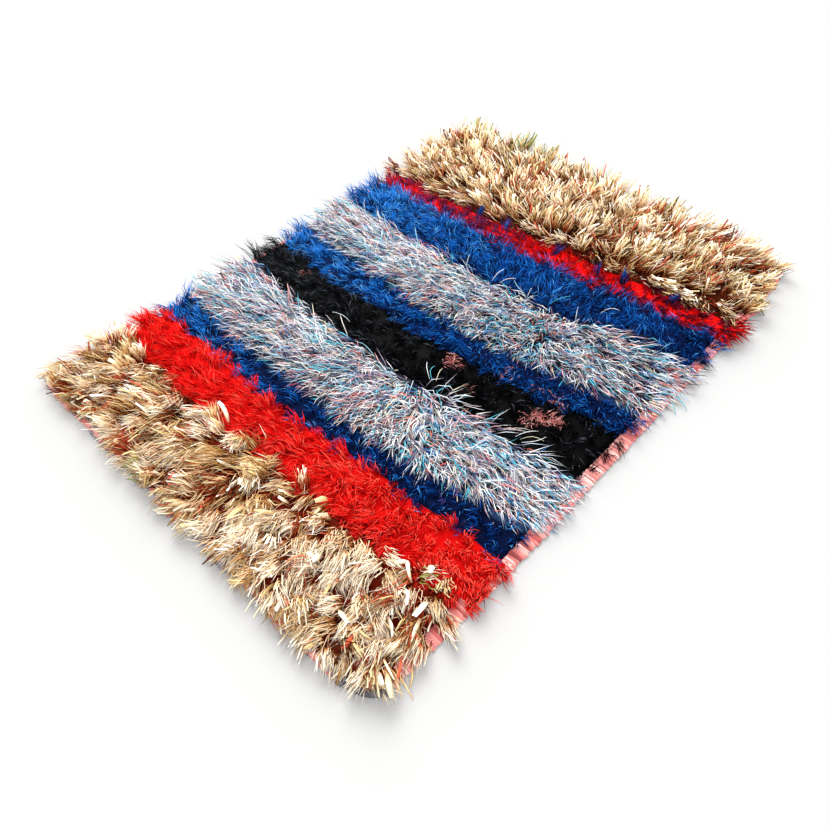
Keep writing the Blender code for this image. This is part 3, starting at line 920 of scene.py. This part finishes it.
# ------------------------------------------------------------------ loose ends
def loose(rng, rows, profile, ring, pointed, thick, shade=(0.5, 0.98)):
    """Single strands laid one by one. A row has the root, the tip, the height of the middle, width and palette place.
    """
    rows = np.asarray(rows, float)
    a, b, rise, width, colour = rows[:, 0:3], rows[:, 3:6], rows[:, 6], rows[:, 7], rows[:, 8]
    n = len(rows)
    bow = 0.12 * rng.normal(size=(n, 1)) * np.cross(unit(b - a), (0, 0, 1.0)) * np.linalg.norm(b - a, axis=1, keepdims=True)
    points = []
    marks = (0.0, 0.25, 0.5, 0.75, 1.0)
    for s in marks:
        p = a * (1 - s) + b * s + bow * math.sin(math.pi * s)
        p[:, 2] += rise * math.sin(math.pi * s)
        points.append(p)
    return dict(
        paths=np.stack(points, 1), marks=marks, width=width, thick=width * thick, turn=rng.uniform(-0.4, 0.4, n),
        axis=unit(rng.normal(size=(n, 3))), ring=ring, pointed=pointed, profile=profile, colour=colour, shade=shade,
    )


def red_tassel():
    """Loose strands of the far red stripe that hang out past the right selvedge."""
    rng = np.random.default_rng(62)
    x = np.array([0.550, 0.556, 0.560, 0.558])
    y = np.array([0.428, 0.446, 0.462, 0.478])
    return bunches(
        rng, x, y, 24, np.array([-35.0, -14.0, 6.0, 26.0]), 62.0, 0.058, 0.0030, lambda t, p: pick(rng, (0.3, 0.3, 0.2, 0.04, 0.3, 0.0), t, 0),
        z=0.010, scatter=0.006, fan=15, vary=0.35, wobble=0.5, sag=0.45, arch=14, shade=(0.4, 0.98), profile=FIBRE,
    )


def blue_spikes():
    """Tufts of the far blue stripe that stand up over the red one."""
    rng = np.random.default_rng(63)
    x = np.array([-0.206, -0.10, 0.06, 0.204, 0.270, 0.40])
    y = np.array([0.402, 0.405, 0.412, 0.416, 0.436, 0.444])
    return bunches(
        rng, x, y, 24, np.array([80.0, 110.0, 70.0, 120.0, 95.0, 60.0]), np.array([30.0, 44.0, 46.0, 14.0, 14.0, 40.0]), 0.050, 0.0022,
        lambda t, p: pick(rng, (0.3, 0.4, 0.25, 0.05, 0, 0), t, 0), scatter=0.004, fan=9, vary=0.25, wobble=0.25, sag=0.0,
        arch=4, shade=(0.2, 0.9), profile=FIBRE,
    )


def blue_wisps():
    """Thin blue ends lying over the left part of the far red stripe."""
    rng = np.random.default_rng(68)
    many = 26
    x = np.linspace(-0.50, 0.30, many) + 0.008 * rng.normal(size=many)
    y = border(INDEX["red_far"], x) - 0.006 + 0.005 * rng.normal(size=many)
    return bunches(
        rng, x, y, 5, 75 + 30 * rng.normal(size=many), 50 + 10 * rng.normal(size=many), 0.050 - 0.012 * np.clip((x + 0.1) / 0.3, 0, 1), 0.0023,
        lambda t, p: pick(rng, (0.4, 0.4, 0.2, 0, 0, 0), t, 0), scatter=0.006, fan=16, vary=0.35, wobble=0.5, sag=0.1,
        arch=20, shade=(0.2, 0.9), profile=FIBRE,
    )


def cord(k):
    """The palette place of yarn k of the mixed cords."""
    return (k + 0.6) / len(MIXED)


def stray_cords_near():
    """Cords of the near mixed stripe that stray over the black one and past the right selvedge."""
    rng = np.random.default_rng(64)
    over = [
        (0.135, -0.170, 0.030, 0.075, -0.118, 0.030, 0.014, 0.0030, cord(5)),
        (0.150, -0.165, 0.030, 0.125, -0.105, 0.028, 0.012, 0.0028, cord(10)),
        (0.142, -0.168, 0.028, 0.100, -0.110, 0.026, 0.012, 0.0024, cord(8)),
        (0.245, -0.178, 0.032, 0.305, -0.150, 0.030, 0.008, 0.0024, cord(5)),
        (0.236, -0.174, 0.030, 0.290, -0.142, 0.026, 0.010, 0.0022, cord(4)),
        (0.400, -0.168, 0.022, 0.446, -0.106, 0.030, 0.012, 0.0028, cord(5)),
        (0.392, -0.164, 0.022, 0.452, -0.122, 0.026, 0.010, 0.0022, cord(10)),
        (0.380, -0.165, 0.022, 0.420, -0.100, 0.022, 0.016, 0.0026, cord(5)),
        (0.352, -0.170, 0.026, 0.412, -0.112, 0.022, 0.010, 0.0022, cord(4)),
        (0.545, -0.238, 0.010, 0.586, -0.254, 0.003, 0.008, 0.0028, cord(5)),
        (0.535, -0.262, 0.010, 0.576, -0.286, 0.003, 0.008, 0.0026, cord(6)),
        (-0.20, -0.168, 0.034, -0.115, -0.160, 0.032, 0.002, 0.0022, cord(6)),
    ]
    over = np.array(over)
    over[:, 3:6] = 0.3 * over[:, 0:3] + 0.7 * over[:, 3:6]
    over[:, 6] *= 0.5
    over[:, 7] *= 0.60
    return loose(rng, over, ((0.0, 0.9, 1.0), (0.9, 1.0, 0.6)), 3, False, 0.8)


def stray_cords_far():
    """Cords of the far mixed stripe that stray over the blue one and past the right selvedge."""
    rng = np.random.default_rng(65)
    over = [
        (0.545, 0.165, 0.012, 0.612, 0.168, 0.003, 0.010, 0.0026, cord(8)),
        (0.540, 0.185, 0.012, 0.604, 0.196, 0.003, 0.008, 0.0024, cord(7)),
        (0.545, 0.256, 0.012, 0.596, 0.266, 0.003, 0.008, 0.0024, cord(11)),
        (0.548, 0.150, 0.012, 0.600, 0.140, 0.003, 0.008, 0.0022, cord(8)),
        (0.020, 0.200, 0.030, 0.030, 0.236, 0.052, 0.004, 0.0015, cord(5)),
        (0.040, 0.205, 0.030, 0.072, 0.232, 0.046, 0.004, 0.0015, cord(4)),
        (0.185, 0.225, 0.030, 0.215, 0.275, 0.042, 0.006, 0.0015, cord(8)),
        (-0.070, 0.200, 0.030, -0.084, 0.230, 0.046, 0.004, 0.0015, cord(6)),
        (0.300, 0.285, 0.028, 0.335, 0.315, 0.038, 0.006, 0.0015, cord(5)),
    ]
    return loose(rng, over, ((0.0, 0.9, 1.0), (0.9, 1.0, 0.6)), 3, False, 0.8)


def loose_rags():
    """Single white rags: one over the near red stripe, one arched by its right end, one over the curled corner."""
    rng = np.random.default_rng(66)
    rows = [
        (-0.107, -0.563, 0.030, -0.153, -0.550, 0.052, 0.006, 0.0095, 0.85),
        (0.452, -0.568, 0.034, 0.424, -0.548, 0.050, 0.012, 0.0090, 0.83),
        (0.424, -0.548, 0.050, 0.400, -0.566, 0.034, 0.008, 0.0085, 0.82),
        (0.516, -0.744, 0.016, 0.560, -0.728, 0.004, 0.010, 0.0105, 0.86),
    ]
    return loose(rng, rows, RAG, "fold", False, 0.22)


def pink_tufts(spots):
    """Short ends of the pink ground yarn that show where the pile is thin."""
    rng = np.random.default_rng(67)
    x, y = [], []
    for sx, sy, r in spots:
        many = max(2, int(round((r / 0.008) ** 2)))
        a, q = rng.uniform(0, 2 * math.pi, many), r * 0.85 * np.sqrt(rng.random(many))
        x.append(sx + q * np.cos(a))
        y.append(sy + q * np.sin(a))
    x, y = np.concatenate(x), np.concatenate(y)
    return bunches(
        rng, x, y, 9, 315 + 50 * rng.normal(size=len(x)), 70.0, 0.019, 0.0022, lambda t, p: pick(rng, (0.16, 0.32, 0.34, 0.18), t, 0),
        z=0.0055, scatter=0.006, fan=24, vary=0.45, wobble=0.6, sag=0.05, arch=20, shade=(0.5, 0.98), profile=FIBRE,
    )


BLACK_BARE = ((0.13, -0.085, 0.024), (0.37, -0.085, 0.030), (0.41, -0.062, 0.026), (0.10, -0.052, 0.014), (-0.40, -0.09, 0.012), (-0.35, -0.05, 0.010), (0.20, -0.125, 0.012))
BLUE_BARE = ((0.245, -0.015, 0.022), (0.375, -0.005, 0.022), (0.33, 0.0, 0.012))

add("pile_straw_far", straw_far(), straw_mat)
add("pile_straw_near", straw_near() + [loose_rags()], straw_mat)
add("pile_red_near", wool(31, "red_near", 0.0215, 26, [(-0.56, 190, 56), (-0.2, 215, 46), (0.2, 250, 40), (0.56, 335, 50)],
    0.043, 0.0023, red_colour, plain(0, 6), near=-0.006, far=-0.002, inset=(0.004, 0.004), near_lean=0.3, far_lean=0.34, under_shade=(0.4, 0.7), left=0.1, right=0.0), red_mat)
add("pile_red_far", wool(32, "red_far", 0.0215, 21, [(-0.56, 185, 50), (0.0, 250, 30), (0.56, 350, 55)],
    0.036, 0.0023, red_far_colour, plain(1, 6), inset=(0.006, 0.010), near_lean=0.2, far_lean=0.2, under_shade=(0.4, 0.7), left=0.1) + [red_tassel()], red_mat)
add("pile_blue_near", wool(33, "blue_near", 0.0205, 21, [(-0.56, 190, 58), (-0.2, 220, 50), (0.2, 260, 45), (0.56, 300, 45)],
    0.036, 0.0022, blue_colour, plain(0, 6), near=-0.004, far=0.009, inset=(0.004, 0.020), near_lean=0.12, far_lean=0.3, wild=0.7, wobble=0.7, left=0.9,
    under_shade=(0.06, 0.34)), blue_mat)
add("pile_blue_mid", wool(34, "blue_mid", 0.0205, 21, [(-0.56, 190, 58), (-0.2, 220, 50), (0.2, 260, 50), (0.56, 320, 50)],
    0.036, 0.0022, blue_colour, plain(0, 6), far=0.009, inset=(0.004, 0.016), spots=BLUE_BARE, near_lean=0.4, far_lean=0.25, wild=0.7, wobble=0.7, left=0.6), blue_mat)
add("pile_blue_far", wool(35, "blue_far", 0.0215, 22, [(-0.56, 190, 58), (-0.2, 200, 48), (0.05, 120, 34), (0.3, 20, 44), (0.56, 350, 58)],
    0.044, 0.0023, blue_colour, plain(0, 6), inset=(0.004, 0.014), near_lean=0.25, far_lean=0.26, wild=0.8, wobble=0.9, arch=32, turn=75, left=0.6) + [blue_spikes(), blue_wisps()], blue_mat)
add("pile_black", wool(36, "black", 0.0215, 21, [(-0.56, 195, 62), (-0.2, 225, 56), (0.2, 270, 54), (0.56, 310, 56)],
    0.036, 0.0019, black_colour, plain(0, 4), inset=(0.004, 0.020), spots=BLACK_BARE, near_lean=0.25, far_lean=0.25, wild=0.65, wobble=0.7, left=0.7), black_mat)
add("pile_mixed_near", mixed(41, "mixed_near",
    [(-0.56, 222, 52, 0.060, 0), (-0.3, 226, 58, 0.076, 0), (-0.1, 232, 58, 0.078, 0), (0.02, 254, 58, 0.070, 0), (0.12, 290, 60, 0.070, 20),
     (0.20, 330, 66, 0.072, 30), (0.30, 340, 73, 0.074, 24), (0.45, 342, 78, 0.064, 16), (0.56, 344, 78, 0.046, 10)],
    6.4, 0.026, -0.004, (0.014, 0.031), [(-0.3, 0.06, 0.07), (0.0, 0.07, 0.03), (0.25, 0.22, -0.06)],
    ((0.135, -0.295, 0.012), (0.349, -0.295, 0.012), (0.416, -0.278, 0.012), (0.063, -0.300, 0.014), (0.239, -0.208, 0.010), (-0.206, -0.256, 0.010))) + [stray_cords_near()], mixed_mat)
add("pile_mixed_far", mixed(42, "mixed_far",
    [(-0.56, 220, 52, 0.060, 0), (-0.3, 226, 58, 0.074, 0), (-0.1, 238, 56, 0.072, 0), (0.05, 256, 54, 0.066, 0), (0.18, 272, 56, 0.066, 10),
     (0.26, 315, 62, 0.070, 24), (0.34, 336, 72, 0.076, 24), (0.42, 345, 78, 0.068, 20), (0.56, 352, 79, 0.050, 14)],
    6.2, 0.026, 0.000, (0.014, 0.028), [(-0.3, 0.17, 0.04), (0.0, 0.06, 0.01), (0.25, 0.05, 0.08)],
    ((0.205, 0.265, 0.011), (0.511, 0.232, 0.012), (0.029, 0.240, 0.010))) + [stray_cords_far()], mixed_mat)


# ------------------------------------------------------------------ ground cloth, selvedges, end web
def cloth_uv(mesh, scale=1.0, seed=0, dark=None):
    """A palette place for each face of a cloth mesh, in small flecks, and an even shade. dark is a spot, as
    x, y and radius, whose faces take the darker end of the palette."""
    layer = mesh.uv_layers.new(name="OFBake")
    centre = np.array([p.center for p in mesh.polygons])
    counts = np.array([p.loop_total for p in mesh.polygons])
    u = 0.15 + 0.7 * (0.5 * smooth_noise(centre[:, 0], centre[:, 1], 0.05 * scale, seed) + 0.5 * lattice(np.round(centre[:, 0] * 997), np.round(centre[:, 1] * 991), seed))
    if dark:
        u = np.where(np.hypot(centre[:, 0] - dark[0], centre[:, 1] - dark[1]) < dark[2], 0.10 + 0.4 * (u - 0.15), u)
    corner = np.concatenate([np.arange(c) for c in counts])
    total = np.repeat(counts, counts)
    a = 2 * math.pi * (corner + 0.5) / total
    uv = np.stack([np.repeat(u, counts) + 0.003 * np.cos(a), 0.8 + 0.02 * np.sin(a)], -1)
    layer.uv.foreach_set("vector", uv.astype(np.float32).ravel())


def ground_cloth():
    """The woven ground: a thin closed sheet with the rug's wavy outline and a nubbly ribbed top."""
    bm = bmesh.new()
    nx, ny = 44, 100
    bmesh.ops.create_grid(bm, x_segments=nx, y_segments=ny, size=1.0)

    def height(x, y):
        return GROUND_THICK - 0.0006 + 0.0005 * wander(x, y, 0.02)

    for v in bm.verts:
        u, w = v.co.x, v.co.y
        y = w * 0.5 * GROUND_LENGTH
        x = u * abs(ground_edge_x(1 if u >= 0 else -1, y))
        y = w * abs(ground_edge_y(1 if w >= 0 else -1, x))
        v.co = (x, y, height(x, y))
    for f in bm.faces:
        f.smooth = True
    top = bm.verts[:]
    rim = [e for e in bm.edges if e.is_boundary]
    turned = bmesh.ops.extrude_edge_only(bm, edges=rim)["geom"]
    for v in (g for g in turned if isinstance(g, bmesh.types.BMVert)):
        v.co.z = 0.0
    bmesh.ops.contextual_create(bm, geom=[e for e in bm.edges if e.is_boundary])
    bmesh.ops.recalc_face_normals(bm, faces=bm.faces)
    mesh = bpy.data.meshes.new("ground_cloth")
    bm.to_mesh(mesh)
    bm.free()
    cloth_uv(mesh, seed=3)
    ob = bpy.data.objects.new("ground_cloth", mesh)
    bpy.context.scene.collection.objects.link(ob)
    return ob


def selvedges():
    """Weft turns wrapped round the edge cords: one after another down both sides."""
    rng = np.random.default_rng(51)
    batches = []
    for side in (-1, 1):
        pitch = 0.0056
        y = np.arange(-0.5 * GROUND_LENGTH + (0.040 if side > 0 else 0.004), 0.5 * GROUND_LENGTH - 0.004, pitch)
        y = y + 0.0012 * rng.uniform(-1, 1, len(y))
        edge = np.array([abs(ground_edge_x(side, v)) for v in y]) + 0.0013 * rng.normal(size=len(y))
        lift = 0.0004 * rng.normal(size=len(y))
        slant = 0.0022 * rng.normal(size=len(y))
        points = []
        for inward, z, along in ((0.036, 0.0036, 0.0), (0.022, 0.0050, 0.4), (0.006, 0.0056, 0.8), (-0.0012, 0.0030, 1.0), (0.002, 0.0008, 1.2)):
            points.append(np.stack([side * (edge - inward), y + along * slant, z + lift * (z > 0.002)], -1))
        paths = np.stack(points, 1)
        n = len(y)
        batches.append(dict(
            paths=paths, marks=(0.0, 0.3, 0.7, 0.88, 1.0), width=pitch * rng.uniform(0.8, 1.5, n), thick=rng.uniform(0.0008, 0.0018, n),
            turn=np.zeros(n), axis=np.zeros((n, 3)), ring=4, pointed=False, profile=((0.0, 1.0), (1.0, 1.0)),
            colour=pick(rng, (0.14, 0.32, 0.36, 0.18), np.arange(n), 0), shade=(0.50, 0.95),
        ))
    return batches


def end_web():
    """The short plain-woven web past the first row of knots, uneven, and curled at its right-hand corner."""
    bm = bmesh.new()
    nx, ny = 170, 7
    bmesh.ops.create_grid(bm, x_segments=nx, y_segments=ny, size=1.0)
    for v in bm.verts:
        u, w = 0.5 * (v.co.x + 1), 0.5 * (v.co.y + 1)      # w runs from the web's edge to the knots
        x = -0.5 * GROUND_WIDTH + 0.012 + u * (GROUND_WIDTH - 0.040)
        edge = -0.5 * GROUND_LENGTH - 0.0015 - 0.003 * wander(x, 1.0, 0.09) - 0.003 * wander(x, 2.0, 0.03)
        edge -= 0.007 * math.exp(-(((x - 0.036) / 0.020) ** 2))
        y = edge + w * (-0.5 * GROUND_LENGTH + 0.024 - edge) + float(curled_corner(x))
        z = 0.0024 + 0.0030 * (1 - w) * max(0.0, wander(x, 3.0, 0.06)) + 0.0006 * wander(x, y, 0.012)
        z += (GROUND_THICK + 0.0006 - 0.0024) * min(1.0, max(0.0, (w - 0.45) / 0.3))
        v.co = (x, y, z)
    # the near right-hand corner of the web is rolled up, a spiral along a line across the corner
    start, along = Vector((0.496, -0.772, 0.0)), Vector((0.056, 0.040, 0.0))
    inward = Vector((-along.y, along.x, 0.0)).normalized()
    rows = []
    turns, steps = 15, 16
    for i in range(turns):
        a = 2 * math.pi * 1.25 * i / (turns - 1)
        r = 0.0082 - 0.0034 * i / (turns - 1)
        row = []
        for j in range(steps):
            q = j / (steps - 1)
            swell = 0.75 + 0.25 * math.sin(math.pi * q) + 0.10 * wander(q, 4.0, 0.3)
            at = start + along * q + inward * (0.001 - 0.006 * math.sin(math.pi * q) - r * swell * math.sin(a))
            row.append(bm.verts.new((at.x, at.y, 0.0030 + r * swell * (1 - math.cos(a)) + 0.0006 * wander(at.x, at.y, 0.01))))
        rows.append(row)
    for i in range(turns - 1):
        for j in range(steps - 1):
            bm.faces.new((rows[i][j], rows[i][j + 1], rows[i + 1][j + 1], rows[i + 1][j]))
    bmesh.ops.recalc_face_normals(bm, faces=bm.faces)
    mesh = bpy.data.meshes.new("end_web")
    bm.to_mesh(mesh)
    bm.free()
    ob = bpy.data.objects.new("end_web", mesh)
    bpy.context.scene.collection.objects.link(ob)
    for f in mesh.polygons:
        f.use_smooth = True
    solid = ob.modifiers.new("thick", "SOLIDIFY")
    solid.thickness = 0.0015
    solid.offset = 0.0
    bpy.context.view_layer.update()
    done = bpy.data.meshes.new_from_object(ob.evaluated_get(bpy.context.evaluated_depsgraph_get()))
    ob.modifiers.clear()
    ob.data = done
    cloth_uv(done, 0.6, seed=5, dark=(0.524, -0.752, 0.045))
    return ob


ground = ground_cloth()
finish_piece(ground, pink_mat)
web = end_web()
finish_piece(web, web_mat)
add("selvedges", selvedges() + [pink_tufts(BLACK_BARE + BLUE_BARE)], pink_mat)

# ------------------------------------------------------------------ camera, lights, floor
camera = bpy.data.objects.new("camera", bpy.data.cameras.new("camera"))
bpy.context.scene.collection.objects.link(camera)
camera.data.sensor_fit = "HORIZONTAL"
camera.data.sensor_width = 36.0
camera.data.lens = 681.1 * 36.0 / 828.0
camera.data.clip_start = 0.05
yaw, pitch, roll = math.radians(-44.23), math.radians(50.416), math.radians(-1.46)
forward = Vector((math.sin(yaw) * math.cos(pitch), math.cos(yaw) * math.cos(pitch), -math.sin(pitch)))
right = Vector((math.cos(yaw), -math.sin(yaw), 0.0))
up = right.cross(forward)
right, up = math.cos(roll) * right + math.sin(roll) * up, -math.sin(roll) * right + math.cos(roll) * up
turn = Matrix((right, up, -forward)).transposed().to_4x4()
at = Vector((0.8496 - MIDDLE[0], -0.9594 - MIDDLE[1], 1.1922))
camera.matrix_world = Matrix.Translation(at) @ turn
bpy.context.scene.camera = camera

bpy.context.scene.view_settings.view_transform = "Standard"
bpy.context.scene.view_settings.look = "None"

world = bpy.data.worlds.new("studio")
world.use_nodes = True
world.node_tree.nodes["Background"].inputs[0].default_value = (1.0, 1.0, 1.0, 1.0)
world.node_tree.nodes["Background"].inputs[1].default_value = 0.80
bpy.context.scene.world = world

sun = bpy.data.objects.new("key", bpy.data.lights.new("key", "SUN"))
sun.data.energy = 3.65
sun.data.angle = math.radians(40.0)
sun.data.color = (1.0, 0.995, 0.985)
bpy.context.scene.collection.objects.link(sun)
aim = Vector((0.85, -0.68, -1.0))
sun.rotation_euler = aim.to_track_quat("-Z", "Y").to_euler()

side = bpy.data.objects.new("side", bpy.data.lights.new("side", "SUN"))
side.data.energy = 2.2
side.data.angle = math.radians(40.0)
side.data.color = (1.0, 0.995, 0.985)
bpy.context.scene.collection.objects.link(side)
side.rotation_euler = Vector((-0.34, 0.28, -1.0)).to_track_quat("-Z", "Y").to_euler()

low = bpy.data.objects.new("low", bpy.data.lights.new("low", "SUN"))
low.data.energy = 2.3
low.data.angle = math.radians(50.0)
low.data.color = (1.0, 0.995, 0.985)
bpy.context.scene.collection.objects.link(low)
low.rotation_euler = Vector((1.0, -0.72, -0.60)).to_track_quat("-Z", "Y").to_euler()

bpy.ops.mesh.primitive_plane_add(size=24.0, location=(0.0, 0.0, -0.0005))
floor = bpy.context.object
floor.name = "floor"
fm = bpy.data.materials.new("floor_white")
fm.use_nodes = True
fs = fm.node_tree.nodes["Principled BSDF"]
fs.inputs["Base Color"].default_value = (0.3985, 0.3985, 0.3995, 1.0)
fs.inputs["Roughness"].default_value = 1.0
fs.inputs["Specular IOR Level"].default_value = 0.0
floor.data.materials.append(fm)
